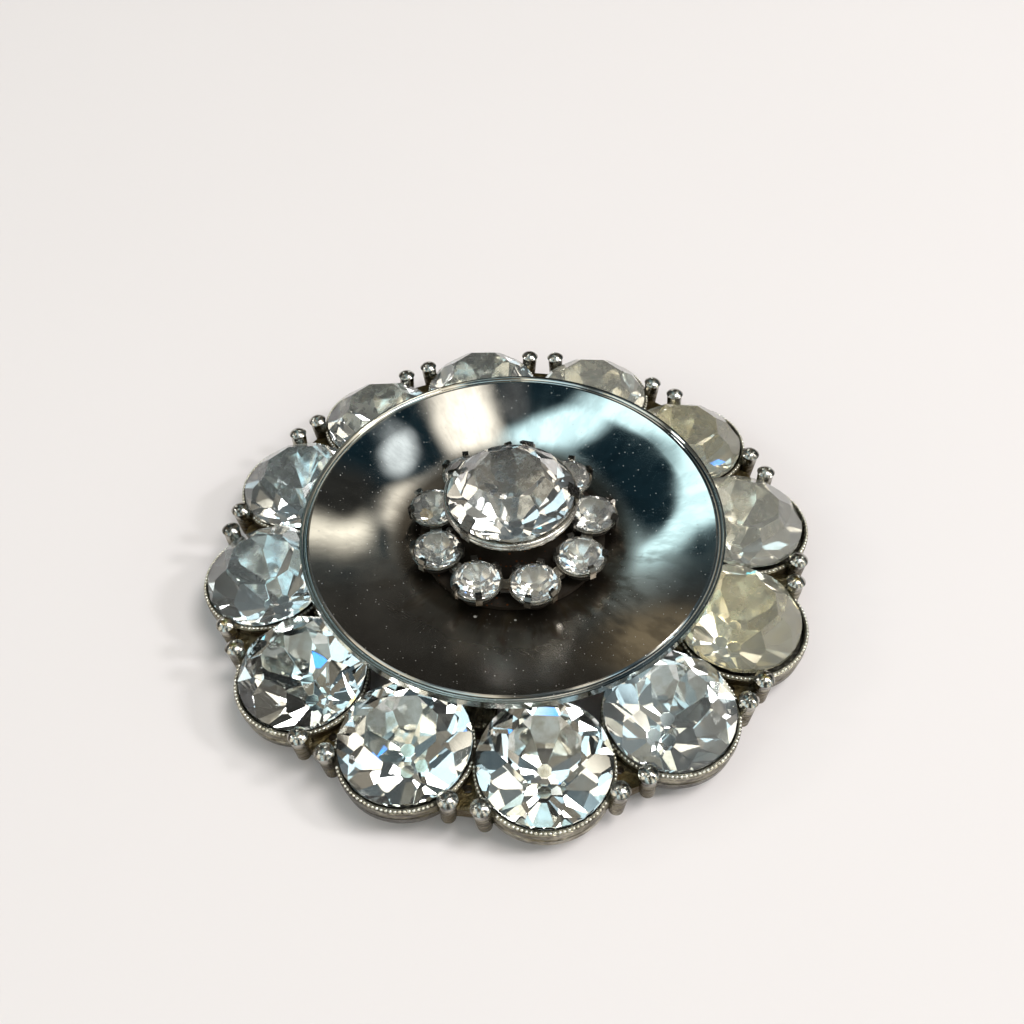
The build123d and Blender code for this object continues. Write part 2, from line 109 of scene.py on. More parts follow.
def edit(piece):
    """Opens the piece in edit mode, set to pick faces, with nothing selected."""
    select_only(piece)
    bpy.ops.object.mode_set(mode="EDIT")
    bpy.ops.mesh.select_mode(type="FACE")
    bpy.ops.mesh.select_all(action="DESELECT")


def pick_faces(piece, rule):
    """Selects the faces that the rule accepts, from edit mode."""
    bpy.ops.object.mode_set(mode="OBJECT")
    for face in piece.data.polygons:
        face.select = bool(rule(face))
    bpy.ops.object.mode_set(mode="EDIT")


def done():
    """Leaves edit mode."""
    bpy.ops.object.mode_set(mode="OBJECT")


def copy_mesh(source, name):
    """A new object at the origin with its own copy of a mesh."""
    piece = bpy.data.objects.new(name, source.data.copy())
    piece.data.name = name
    bpy.context.scene.collection.objects.link(piece)
    return piece


select_only(nodes["frame"])
print("selected:", [piece.name for piece in bpy.context.selected_objects])

# %% [markdown]
# A rhinestone is cut glass with a silver foil on its pointed back, which throws the light out again through the
# facets. The foil follows the facets of the back exactly, so it is made from them: a copy of each stone keeps
# only the faces of its lower half, is grown outwards by a hair, and is given a thickness. Growing a copy is
# better than modelling a cone, because every edge of the foil then lies behind an edge of the glass.

# %% Foil behind each stone
foil_gap = 0.012 * MM
foil_thickness = 0.012 * MM
weld = 0.002 * MM
girdle_share = 0.63
least_downward = 0.3
flat_angle = 0.5
large_names = [f"stone_{n:02d}" for n in range(1, 13)]
small_names = [f"small_stone_{n}" for n in range(1, 10)]


def foil_behind(stone_name):
    """The foil of one stone: its faces below the girdle that look downwards."""
    foil = copy_mesh(nodes[stone_name], stone_name.replace("stone", "foil"))
    low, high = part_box(stone_name)
    edge = low.z + (high.z - low.z) * girdle_share
    edit(foil)
    bpy.ops.mesh.select_all(action="SELECT")
    bpy.ops.mesh.remove_doubles(threshold=weld)
    pick_faces(foil, lambda face: face.center.z > edge or face.normal.z > -least_downward)
    bpy.ops.mesh.delete(type="FACE")
    bpy.ops.mesh.select_all(action="SELECT")
    bpy.ops.mesh.dissolve_limited(angle_limit=math.radians(flat_angle))
    bpy.ops.transform.shrink_fatten(value=foil_gap, use_even_offset=True)
    done()
    sheet = foil.modifiers.new("Sheet", "SOLIDIFY")
    sheet.thickness = foil_thickness
    sheet.offset = 1
    sheet.use_even_offset = True
    select_only(foil)
    bpy.ops.object.modifier_apply(modifier=sheet.name)
    foil.data.materials.clear()
    return foil


foils = {name: foil_behind(name) for name in [*large_names, *small_names, "centre_stone"]}
print("faces of a foil:", len(foils["stone_01"].data.polygons), "of a small one:",
      len(foils["small_stone_1"].data.polygons))

# %% [markdown]
# Round the rim of each cup runs a row of tiny beads, which a jeweller rolls into the edge with a milgrain
# wheel. A bump could fake them, but they show along the outline of the cups, so they are shapes. One bead is
# modelled, and an Array that turns it about the cup's axis makes the row. Each bead has only twenty faces,
# because there are about a thousand of them.

# %% The row of beads round one cup
bead_radius = 0.16 * MM
bead_circle = 6.17 * MM
bead_height = 4.6 * MM
bead_count = 96
bead_stretch = 1.2

bpy.ops.object.select_all(action="DESELECT")
bpy.ops.mesh.primitive_ico_sphere_add(
    subdivisions=1, radius=bead_radius, location=(bead_circle, 0, bead_height))
row = bpy.context.object
row.name = "milgrain"
edit(row)
bpy.ops.mesh.select_all(action="SELECT")
bpy.ops.transform.resize(value=(1, bead_stretch, 1))
done()
bpy.ops.object.transform_apply(location=True, rotation=True, scale=True)
bpy.ops.object.empty_add(location=(0, 0, 0))
turn = bpy.context.object
turn.rotation_euler.z = 2 * math.pi / bead_count
beads = row.modifiers.new("Row", "ARRAY")
beads.count = bead_count
beads.use_relative_offset = False
beads.use_object_offset = True
beads.offset_object = turn
select_only(row)
bpy.ops.object.modifier_apply(modifier=beads.name)
bpy.data.objects.remove(turn)
print("faces in a row of beads:", len(row.data.polygons))

# %% [markdown]
# The wheel can't reach under a prong or into the corner where two cups join. A bead there is found by the angle
# at which it stands round the cup, and is then deleted with all that hangs together with it.

# %% Beads that the prongs and the joints leave out
prong_angle = 58.6
prong_half_angle = 7.5
joint_angle = 104.5
joint_half_angle = 4


def hidden_bead(face):
    """True for a face of a bead that a prong or the next cup would hide."""
    middle = face.center
    angle = abs(math.degrees(math.atan2(middle.y, middle.x)))
    return abs(angle - prong_angle) < prong_half_angle or abs(angle - joint_angle) < joint_half_angle


edit(row)
pick_faces(row, hidden_bead)
bpy.ops.mesh.select_linked()
bpy.ops.mesh.delete(type="VERT")
done()
print("faces left:", len(row.data.polygons))

# %% [markdown]
# All cups have the same row, so the finished one is copied to each. The copy is turned and moved as an object,
# and transform_apply then puts the turn and the move into its mesh. All pieces so keep one origin, and a
# pattern that reads its place from there stays where it is.

# %% A row for each cup
rows = []
for number in range(cup_count):
    cup_row = copy_mesh(row, f"milgrain_{number + 1:02d}")
    cup_row.rotation_euler.z = math.radians(first_azimuth - number * cup_step)
    cup_row.location = (*(cup_place(number) * MM), 0)
    select_only(cup_row)
    bpy.ops.object.transform_apply(location=True, rotation=True, scale=True)
    bpy.ops.object.shade_smooth()
    rows.append(cup_row)
bpy.data.objects.remove(row)
print("rows of beads:", len(rows))

# %% [markdown]
# Materials are built from nodes, and a node is of use only when its inputs are linked or set. One helper does
# that for any group of sockets, and another adds a node and feeds it in one line. A finish is then as short to
# read as a recipe.

# %% Adding a node
def feed(tree, sockets, values):
    """Links each value to the socket it is for, or sets it there if it is a plain one."""
    for key, value in values.items():
        if isinstance(value, bpy.types.NodeSocket):
            tree.links.new(value, sockets[key])
        else:
            sockets[key].default_value = value


def add_node(tree, kind, inputs=None, **settings):
    """Adds a node, sets its properties and feeds its inputs."""
    node = tree.nodes.new(kind)
    for name, value in settings.items():
        setattr(node, name, value)
    feed(tree, node.inputs, inputs or {})
    return node


# %% [markdown]
# Most of a material is arithmetic with masks. A mask is a grey from 0 to 1 that says where something is. Map
# Range makes one with soft ends from any value, such as a height or a noise, and Mix uses it to lay one colour
# over another. A finish is a pile of such layers, and its roughness is a sum of the same masks.

# %% Sums, masks and layers
def vector_maths(tree, operation, first, second=(0, 0, 0)):
    """The outputs of one Vector Math node."""
    return add_node(tree, "ShaderNodeVectorMath", {0: first, 1: second}, operation=operation).outputs


def maths(tree, operation, first, second=0.0):
    """The result of one Math node."""
    return add_node(tree, "ShaderNodeMath", {0: first, 1: second}, operation=operation).outputs[0]


def times(tree, first, second):
    """The product of two values."""
    return maths(tree, "MULTIPLY", first, second)


def minus(tree, first, second):
    """The first value less the second."""
    return maths(tree, "SUBTRACT", first, second)


def add_up(tree, base, *shares):
    """A base value plus each mask times its share."""
    for mask, share in shares:
        base = maths(tree, "ADD", base, times(tree, mask, share))
    return base


def height_of(tree, place):
    """How high a place is."""
    return add_node(tree, "ShaderNodeSeparateXYZ", {0: place}).outputs["Z"]


def spread(tree, value, low, high, to_low=0.0, to_high=1.0):
    """Maps a value smoothly from one range to another."""
    ranges = {"Value": value, "From Min": low, "From Max": high, "To Min": to_low, "To Max": to_high}
    return add_node(tree, "ShaderNodeMapRange", ranges, interpolation_type="SMOOTHSTEP").outputs["Result"]


def noise(tree, place, scale, detail, **inputs):
    """The grey of a Noise texture."""
    inputs = {"Vector": place, "Scale": scale, "Detail": detail, **inputs}
    return add_node(tree, "ShaderNodeTexNoise", inputs).outputs["Fac"]


def blend(tree, factor, first, second):
    """Mixes two colours."""
    return add_node(tree, "ShaderNodeMix", {0: factor, 6: first, 7: second}, data_type="RGBA").outputs[2]


def layer(tree, colour, *layers):
    """Lays colours over a first one, each given as its mask, its strength and its colour."""
    for mask, strength, over in layers:
        colour = blend(tree, times(tree, mask, strength), colour, over)
    return colour


# %% [markdown]
# An effect that several finishes share is a node group: it is built once, and each finish gives it values of
# its own. These helpers start a group with named sockets, end it, and place it in a material.

# %% Node groups
def start_group(name, inputs, outputs):
    """A shader node group: its inputs with their first values, and the names of what it puts out."""
    group = bpy.data.node_groups.new(name, "ShaderNodeTree")
    for label, value in inputs.items():
        kind = "NodeSocketVector" if isinstance(value, tuple) else "NodeSocketFloat"
        group.interface.new_socket(name=label, in_out="INPUT", socket_type=kind).default_value = value
    for label in outputs:
        group.interface.new_socket(name=label, in_out="OUTPUT", socket_type="NodeSocketFloat")
    return group, group.nodes.new("NodeGroupInput").outputs, group.nodes.new("NodeGroupOutput").inputs


def end_group(group, go, values):
    """Feeds what the group puts out, and prints how many nodes it has."""
    feed(group, go, values)
    print("group", group.name, "nodes:", len(group.nodes))


def use_group(tree, group, **inputs):
    """Places a node group with its own values, and returns its outputs."""
    return add_node(tree, "ShaderNodeGroup", inputs, node_tree=group).outputs


# %% [markdown]
# Patches of uneven tarnish are a noise that is cut off softly. The group takes a place on the object in
# millimetres, the size of a patch and how much of the metal it covers. Where nothing is covered the noise is
# cut so high that hardly any is left, and where all is, so low that hardly any is lost.

# %% Group: patches
bare_cut, covered_cut = 0.72, 0.28

patches, come, go = start_group(
    "patches", {"Place": (0, 0, 0), "Size": 2.0, "Cover": 0.5, "Edge": 0.12, "Detail": 4.0}, ["Mask"])
fineness = maths(patches, "DIVIDE", 1.0, come["Size"])
cloud = noise(patches, come["Place"], fineness, come["Detail"], Roughness=0.62)
cut = spread(patches, come["Cover"], 0.0, 1.0, bare_cut, covered_cut)
lower = minus(patches, cut, come["Edge"])
upper = maths(patches, "ADD", cut, come["Edge"])
end_group(patches, go, {"Mask": spread(patches, cloud, lower, upper)})

# %% [markdown]
# Fine scratches from years of wiping are the thin lines where a stretched noise passes through its middle
# value. A second noise breaks the lines up. Two families of them at different slants look like use rather than
# like machining.

# %% Group: scratches
slants = (0.6, 2.3)
middle_value = 0.5
break_fineness, break_from, break_fade = 0.35, 0.85, 0.1

scratches, come, go = start_group(
    "scratches", {"Place": (0, 0, 0), "Length": 6.0, "Spacing": 0.8, "Width": 0.02, "Cover": 0.4}, ["Mask"])
families = []
for slant in slants:
    turned = add_node(scratches, "ShaderNodeVectorRotate", {"Vector": come["Place"], "Angle": slant},
                      rotation_type="Z_AXIS").outputs[0]
    apart = add_node(scratches, "ShaderNodeSeparateXYZ", {0: turned}).outputs
    stretched = add_node(scratches, "ShaderNodeCombineXYZ", {
        "X": maths(scratches, "DIVIDE", apart["X"], come["Length"]),
        "Y": maths(scratches, "DIVIDE", apart["Y"], come["Spacing"]), "Z": apart["Z"]}).outputs[0]
    away = maths(scratches, "ABSOLUTE", minus(scratches, noise(scratches, stretched, 1.0, 2.0), middle_value))
    line = spread(scratches, away, 0.0, come["Width"], 1.0, 0.0)
    start = minus(scratches, break_from, come["Cover"])
    end = maths(scratches, "ADD", start, break_fade)
    shown = spread(scratches, noise(scratches, turned, break_fineness, 1.0), start, end)
    families.append(times(scratches, line, shown))
end_group(scratches, go, {"Mask": maths(scratches, "MAXIMUM", *families)})

# %% [markdown]
# Dust sits as small pale specks of uneven size, a few to the square millimetre. Cells of a Voronoi texture
# give each speck its own place, and the cell's random colour says how large the speck is and whether it is
# there at all.

# %% Group: specks
smallest_speck = 0.25
solid_share = 0.55

specks, come, go = start_group(
    "specks", {"Place": (0, 0, 0), "Spacing": 0.6, "Size": 0.12, "Cover": 0.4}, ["Mask"])
fineness = maths(specks, "DIVIDE", 1.0, come["Spacing"])
cells = add_node(specks, "ShaderNodeTexVoronoi", {"Vector": come["Place"], "Scale": fineness}).outputs
chance = add_node(specks, "ShaderNodeSeparateXYZ", {0: cells["Color"]}).outputs
reach = times(specks, maths(specks, "ADD", smallest_speck, chance["Y"]), come["Size"])
dot = spread(specks, cells["Distance"], times(specks, reach, solid_share), reach, 1.0, 0.0)
there = maths(specks, "LESS_THAN", chance["X"], come["Cover"])
end_group(specks, go, {"Mask": times(specks, dot, there)})

# %% [markdown]
# The wear of a round piece depends on where a place lies about its middle. This group puts that out in four
# values: how far right and how far back of the middle it is, its angle in radians, and its radius, with all
# lengths in millimetres.

# %% Group: place about a middle
about_middle, come, go = start_group(
    "about_middle", {"Place": (0, 0, 0), "Middle": (0, 0, 0)}, ["Right", "Back", "Angle", "Radius"])
centred = vector_maths(about_middle, "SUBTRACT", come["Place"], come["Middle"])[0]
apart = add_node(about_middle, "ShaderNodeSeparateXYZ", {0: centred}).outputs
flat = add_node(about_middle, "ShaderNodeCombineXYZ", {"X": apart["X"], "Y": apart["Y"]}).outputs[0]
end_group(about_middle, go, {
    "Right": apart["X"], "Back": apart["Y"],
    "Angle": maths(about_middle, "ARCTAN2", apart["Y"], apart["X"]),
    "Radius": vector_maths(about_middle, "LENGTH", flat)["Value"]})

# %% [markdown]
# All twelve cups carry the same marks: black painted shade inside, under the stone, and brown where one cup
# meets the next, partly tarnish and partly painted shade. So one group folds the ring together, as a paper star
# is folded, until every place lies on one cup. It puts out how far a place is from that cup's axis in
# millimetres, and how far towards the next cup, from 0 to 1.

# %% Group: place on a cup
half_step = math.radians(cup_step / 2)
to_first_cup = half_step - math.radians(first_azimuth)

cup_zone, come, go = start_group("cup_zone", {"Place": (0, 0, 0)}, ["From Axis", "To Next"])
ringed = use_group(cup_zone, about_middle, Place=come["Place"], Middle=(*ring_middle, 0))
angle = maths(cup_zone, "ADD", ringed["Angle"], to_first_cup)
folded = minus(cup_zone, maths(cup_zone, "FLOORED_MODULO", angle, 2 * half_step), half_step)
outward = minus(cup_zone, times(cup_zone, ringed["Radius"], maths(cup_zone, "COSINE", folded)), cup_circle)
sideways = times(cup_zone, ringed["Radius"], maths(cup_zone, "SINE", folded))
from_axis = add_node(cup_zone, "ShaderNodeCombineXYZ", {"X": outward, "Y": sideways}).outputs[0]
end_group(cup_zone, go, {
    "From Axis": vector_maths(cup_zone, "LENGTH", from_axis)["Value"],
    "To Next": maths(cup_zone, "DIVIDE", maths(cup_zone, "ABSOLUTE", folded), half_step)})

# %% [markdown]
# Object coordinates are in metres from the origin, the same for every piece. Multiplied by a thousand they
# are millimetres, which makes the sizes in the groups easy to read. Every finish starts from them and ends by
# feeding the Principled shader, with a Bump node where the surface has a relief too fine to model.

# %% Starting and ending a material
def start_material(name):
    """A material, its nodes, and the place on the object in millimetres."""
    material = bpy.data.materials.new(name)
    material.use_nodes = True
    tree = material.node_tree
    place = add_node(tree, "ShaderNodeTexCoord").outputs["Object"]
    return material, tree, vector_maths(tree, "MULTIPLY", place, (1 / MM,) * 3)[0]


def end_material(material, values, relief=None):
    """Feeds the shader. A relief is a height, how strong it is and how deep in millimetres."""
    tree = material.node_tree
    shader = tree.nodes["Principled BSDF"].inputs
    feed(tree, shader, values)
    if relief:
        height, strength, depth = relief
        bump = add_node(tree, "ShaderNodeBump", {
            "Height": height, "Strength": strength, "Distance": depth * MM})
        feed(tree, shader, {"Normal": bump.outputs["Normal"]})
    print("finish", material.name, "nodes:", len(tree.nodes))
    return material


# %% [markdown]
# The ring is cast in a soft white metal and plated. The plating has gone warm and dull on the walls, and stays
# bright where fingers rub it, on the prong heads and the rims. Deep between the cups it is olive and brown,
# partly tarnish and partly painted shade, and inside each cup, under its stone, black is painted as shade. The
# walls are streaked along the rim, from the turning of the master. A noise that is squeezed in height gives
# such thin layers, and heights and the place on the cup say where the rest lies.

# %% Cast metal: colours
plating, tarnish, streak_dark = (0.50, 0.465, 0.355, 1), (0.18, 0.155, 0.095, 1), (0.045, 0.038, 0.024, 1)
# The brown between the cups is partly tarnish and partly painted shade; the black inside the cups is painted
# shade.
rubbed, dirt_dark, joint_tarnish_and_shade = (0.52, 0.51, 0.48, 1), (0.05, 0.042, 0.032, 1), (0.075, 0.052, 0.018, 1)
painted_cup_shade = (0.025, 0.022, 0.018, 1)
squeeze = (0.55, 0.55, 3.2)
streak_cut = (0.46, 0.56)
rubbed_heights = (4.3, 5.6)
cup_wall, cup_heights = (6.15, 5.9), (5.1, 4.3)
joint_shares, joint_heights = (0.66, 0.92), (5.2, 3.4)

cast_finish, tree, place = start_material("cast_metal")
height = height_of(tree, place)
zone = use_group(tree, cup_zone, Place=place)
layered = add_node(tree, "ShaderNodeMapping", {"Vector": place, "Scale": squeeze}).outputs[0]
streaks = noise(tree, layered, 1.0, 4.0, Roughness=0.65)
dull = use_group(tree, patches, Place=place, Size=2.6, Cover=0.5, Edge=0.14, Detail=3.0)["Mask"]
dark = use_group(tree, patches, Place=place, Size=0.9, Cover=0.42, Edge=0.1)["Mask"]
worn = spread(tree, height, *rubbed_heights)
# Painted shade: black inside each cup, under its stone.
cup_shade_mask = times(tree, spread(tree, zone["From Axis"], *cup_wall), spread(tree, height, *cup_heights))
# Between the cups: partly tarnish, partly painted shade.
joint_tarnish_shade_mask = times(tree, spread(tree, zone["To Next"], *joint_shares), spread(tree, height, *joint_heights))
colour = layer(
    tree, blend(tree, dull, plating, tarnish),
    (spread(tree, streaks, *streak_cut), 0.68, streak_dark), (worn, 0.8, rubbed), (dark, 0.75, dirt_dark),
    (joint_tarnish_shade_mask, 0.85, joint_tarnish_and_shade), (cup_shade_mask, 0.9, painted_cup_shade))
print("nodes of the cast metal so far:", len(tree.nodes))

# %% [markdown]
# On a few prong heads the plating has gone and brass shows. A noise would put such spots anywhere, so each is
# placed by its distance from the head, and then the gloss and the relief follow. The metal is smoother where
# it is rubbed, and the streaks are felt there less.

# %% Cast metal: brass spots, gloss and relief
brass = (0.70, 0.50, 0.07, 1)
prong_reach = 7.03
head_height = 6.7
brass_spot = (0.8, 0.3)
brassy_heads = [(10, -1), (10, 1), (3, 1), (2, -1)]

for number, side in brassy_heads:
    azimuth = first_azimuth - number * cup_step + side * prong_angle
    head = (*(cup_place(number) + polar(prong_reach, azimuth)), head_height)
    away = vector_maths(tree, "DISTANCE", place, head)["Value"]
    colour = layer(tree, colour, (spread(tree, away, *brass_spot), 0.85, brass))
relief = add_up(tree, noise(tree, place, 2.6, 3.0, Roughness=0.6), (streaks, 0.9))
relief = times(tree, relief, add_up(tree, 1.0, (worn, -0.8)))
end_material(cast_finish, {
    "Base Color": colour,
    "Roughness": add_up(tree, 0.16, (dull, 0.1), (joint_tarnish_shade_mask, 0.15), (worn, -0.09)),
    "Metallic": add_up(tree, 1.0, (cup_shade_mask, -0.5))}, relief=(relief, 0.8, 0.22))

# %% [markdown]
# The dish is a spun sheet with a mirror plating, and it was polished in strokes from the middle outwards. The
# strokes are a noise read from the direction alone: the sine and cosine of the angle round the middle, so that
# there is no seam, and a little of the radius, so that they drift. A brown layer lies along them on the nearer
# half, strongest towards the middle and at the left: partly a haze, and partly a painted dark reflection.

# %% Mirror metal: strokes and haze
upper_middle = Vector((0.413, 0.224))
stroke_drift = 0.03
haze_strokes = (0.40, 0.66)
near_side, left_side = (1.0, -9.0), (9.0, 2.0)
haze_ring = (19.0, 11.0)

mirror_finish, tree, place = start_material("mirror_metal")
dished = use_group(tree, about_middle, Place=place, Middle=(*upper_middle, 0))
angle, radius = dished["Angle"], dished["Radius"]
strokes_at = add_node(tree, "ShaderNodeCombineXYZ", {
    "X": maths(tree, "COSINE", angle), "Y": maths(tree, "SINE", angle),
    "Z": times(tree, radius, stroke_drift)}).outputs[0]
strokes = noise(tree, strokes_at, 7.0, 3.0, Roughness=0.6)
near_half = spread(tree, dished["Back"], *near_side)
near_left = times(tree, near_half, spread(tree, dished["Right"], *left_side))
# Partly polishing haze, partly painted dark reflection on the near half and at the left.
haze_and_dark_reflection = times(tree, spread(tree, strokes, *haze_strokes, 0.45, 1.0), near_half)
haze_and_dark_reflection = times(tree, haze_and_dark_reflection, spread(tree, radius, *haze_ring, 0.4, 1.0))
haze_and_dark_reflection = maths(tree, "MAXIMUM", haze_and_dark_reflection, times(tree, near_left, 0.62))
print("nodes of the mirror metal so far:", len(tree.nodes))

# %% [markdown]
# Round the rosette the dish is painted dark as shade, which also dims the rosette's reflection, and a smoky
# painted dark reflection spreads from it to the near left. Scuffs and fine scratches make the mirror less
# sharp.
# Dust lies on it in fine specks, with a few larger bits of fluff. Each of these is a shared group with sizes
# for this piece.

# %% Mirror metal: painted shade, scuffs and dust
dish_shade_ring, near_left_dark_ring = (13.4, 10.8), (18.0, 12.0)

# Painted dark reflection towards the near left.
near_left_dark_reflection = times(tree, near_left, spread(tree, radius, *near_left_dark_ring))
# Painted shade round the rosette, which also dims its reflection.
stained = times(tree, spread(tree, radius, *dish_shade_ring), 0.9)
stained = maths(tree, "MAXIMUM", stained, times(tree, near_left_dark_reflection, 0.7))
scuff = use_group(tree, patches, Place=place, Size=4.0, Cover=0.42, Edge=0.2, Detail=2.0)["Mask"]
lines = use_group(tree, scratches, Place=place, Length=9.0, Spacing=0.9, Width=0.006, Cover=0.34)["Mask"]
dust = use_group(tree, specks, Place=place, Spacing=0.28, Size=0.18, Cover=0.28)["Mask"]
fluff = use_group(tree, specks, Place=place, Spacing=1.9, Size=0.09, Cover=0.25)["Mask"]
dirt = maths(tree, "MAXIMUM", dust, fluff)
print("nodes with stains and dust:", len(tree.nodes))

# %% [markdown]
# The rim is turned with fine ridges, too fine to model, so a sine of the radius makes them, once for the colour
# and once for the bump. In the colour the ridge tops get a painted highlight, and the grooves between a painted
# reflection, warm at the left and cool at the right.

# %% Mirror metal: the ridged rim, and all its layers
# The brown of the haze is partly painted dark reflection.
mirror_bright, brushed_grey, haze_and_painted_dark = (0.76, 0.76, 0.75, 1), (0.36, 0.36, 0.36, 1), (0.13, 0.10, 0.07, 1)
# The dark brown round the rosette is painted shade.
dish_painted_shade, dust_pale = (0.055, 0.04, 0.024, 1), (0.82, 0.80, 0.76, 1)
# Painted highlight on the ridge tops, and painted warm and cool reflections in the grooves.
ridge_painted_highlight, groove_warm_reflection, groove_cool_reflection = (0.78, 0.78, 0.76, 1), (0.52, 0.50, 0.44, 1), (0.13, 0.18, 0.21, 1)
rim_ring = (19.9, 20.1)
ridge_pitch = 0.33
groove_sides = (-5.0, 9.0)
brushed_strokes = (0.42, 0.62)

rim = spread(tree, radius, *rim_ring)
ridges = maths(tree, "SINE", times(tree, radius, 2 * math.pi / ridge_pitch))
# Painted reflection in the grooves: warm at the left, cool at the right.
groove_reflection = blend(tree, spread(tree, dished["Right"], *groove_sides), groove_warm_reflection, groove_cool_reflection)
rim_painted_light = blend(tree, spread(tree, ridges, -0.6, 0.6), groove_reflection, ridge_painted_highlight)
colour = layer(
    tree, mirror_bright, (spread(tree, strokes, *brushed_strokes), 0.42, brushed_grey),
    (haze_and_dark_reflection, 0.92, haze_and_painted_dark), (stained, 1.0, dish_painted_shade), (rim, 1.0, rim_painted_light), (dirt, 0.45, dust_pale))
relief = add_up(tree, noise(tree, place, 0.12, 1.0), (times(tree, ridges, rim), 0.35))
end_material(mirror_finish, {
    "Base Color": colour,
    "Roughness": add_up(tree, 0.035, (scuff, 0.03), (haze_and_dark_reflection, 0.2), (stained, 0.2), (lines, 0.05), (dirt, 0.4)),
    "Metallic": add_up(tree, 1.0, (dirt, -0.3))}, relief=(relief, 0.5, 0.06))

# %% [markdown]
# The rosette is stamped from thin plated sheet. Its prongs and rims are bright, and the folded tips of the
# prongs get a painted dark reflection. The floor between its cups, low down and towards the middle under the
# middle stone, is painted nearly black as shade, with rusty specks there that no cloth reaches. All of that
# goes with the height, and the shade also gathers towards the middle.

# %% Finish: stamped metal
sheet_bright, sheet_stained = (0.60, 0.585, 0.55, 1), (0.22, 0.19, 0.15, 1)
# Nearly black painted shade for the low parts, and a painted dark reflection for the prong tips.
rosette_painted_shade, tip_painted_dark_reflection, rust_brown = (0.020, 0.012, 0.006, 1), (0.06, 0.055, 0.05, 1), (0.22, 0.07, 0.02, 1)
inner_ring, deep_heights, tip_heights = (7.6, 4.6), (8.7, 7.9), (9.3, 9.45)

stamped_finish, tree, place = start_material("stamped_metal")
height = height_of(tree, place)
radius = use_group(tree, about_middle, Place=place, Middle=(*upper_middle, 0))["Radius"]
# Painted shade, low down and towards the middle under the middle stone.
rosette_shade_mask = maths(tree, "MAXIMUM", spread(tree, radius, *inner_ring), spread(tree, height, *deep_heights))
# Painted dark reflection on the folded prong tips.
tip_reflection_mask = spread(tree, height, *tip_heights)
stained = use_group(tree, patches, Place=place, Size=1.4, Cover=0.55, Edge=0.15)["Mask"]
rust = use_group(tree, specks, Place=place, Spacing=0.5, Size=0.3, Cover=0.35)["Mask"]
colour = layer(
    tree, sheet_bright, (stained, 0.6, sheet_stained), (rosette_shade_mask, 0.95, rosette_painted_shade), (tip_reflection_mask, 0.85, tip_painted_dark_reflection),
    (times(tree, rust, rosette_shade_mask), 0.8, rust_brown))
end_material(stamped_finish, {
    "Base Color": colour,
    "Roughness": add_up(tree, 0.12, (rosette_shade_mask, 0.4), (stained, 0.1)),
    "Metallic": add_up(tree, 1.0, (rosette_shade_mask, -0.35)),
    "Specular IOR Level": 0.2}, relief=(noise(tree, place, 4.0, 3.0), 0.35, 0.05))

# %% [markdown]
# The setting of the middle stone is polished, with faint patches and wear, and its folded tabs get a painted
# dark reflection.
# The pin on the back is plain satin steel, and the milgrain beads are bright from rubbing. All three are the
# same recipe with other values, so one function builds them.

# %% Finishes: setting metal, pin metal and beads
# Painted dark reflection for the folded tabs of the setting.
tab_painted_dark_reflection = (0.05, 0.047, 0.043, 1)
tab_fade = 0.25


def plain_metal(name, bright, stained_colour, rough_low, rough_span, patch_size, dark_reflection_above=None):
    """A metal with stained patches and scratches, and a painted dark reflection above a height in millimetres
    if one is given.
    """
    material, tree, place = start_material(name)
    stained = use_group(tree, patches, Place=place, Size=patch_size, Cover=0.45, Edge=0.16)["Mask"]
    lines = use_group(tree, scratches, Place=place, Length=3.0, Spacing=0.5, Width=0.025, Cover=0.45)["Mask"]
    colour = layer(tree, bright, (stained, 0.7, stained_colour))
    if dark_reflection_above is not None:
        # Painted dark reflection above that height.
        dark_reflection_mask = spread(tree, height_of(tree, place), dark_reflection_above, dark_reflection_above + tab_fade)
        colour = layer(tree, colour, (dark_reflection_mask, 0.92, tab_painted_dark_reflection))
    return end_material(material, {
        "Base Color": colour,
        "Roughness": add_up(tree, rough_low, (stained, rough_span), (lines, 0.15)),
        "Metallic": 1.0}, relief=(minus(tree, stained, lines), 0.3, 0.02))


setting_finish = plain_metal(
    "setting_metal", (0.62, 0.60, 0.56, 1), (0.24, 0.205, 0.155, 1), 0.10, 0.14, 0.8, dark_reflection_above=13.35)
pin_finish = plain_metal("pin_metal", (0.60, 0.59, 0.56, 1), (0.36, 0.33, 0.27, 1), 0.28, 0.16, 2.4)
bead_finish = plain_metal("milgrain_metal", (0.92, 0.90, 0.84, 1), (0.55, 0.48, 0.33, 1), 0.14, 0.15, 0.9)

# %% [markdown]
# The stones are lead glass: clear, nearly colourless, and strongly refracting. Faint smears dull them here and
# there. The colour that a stone shows comes mostly from the foil behind it, so the kinds of glass differ only a
# little in tint and in how clear they are.

# %% Finishes: glass
refraction = 1.54
smear_roughness = 0.03


def glass(name, clean, smeared, clearness):
    """Cut glass with faint smears; what it lacks in clearness shows as a milky veil."""
    material, tree, place = start_material(name)
    smear = use_group(tree, patches, Place=place, Size=1.6, Cover=0.4, Edge=0.2, Detail=1.0)["Mask"]
    return end_material(material, {
        "Base Color": blend(tree, smear, clean, smeared), "Roughness": times(tree, smear, smear_roughness),
        "IOR": refraction, "Transmission Weight": clearness, "Metallic": 0.0})


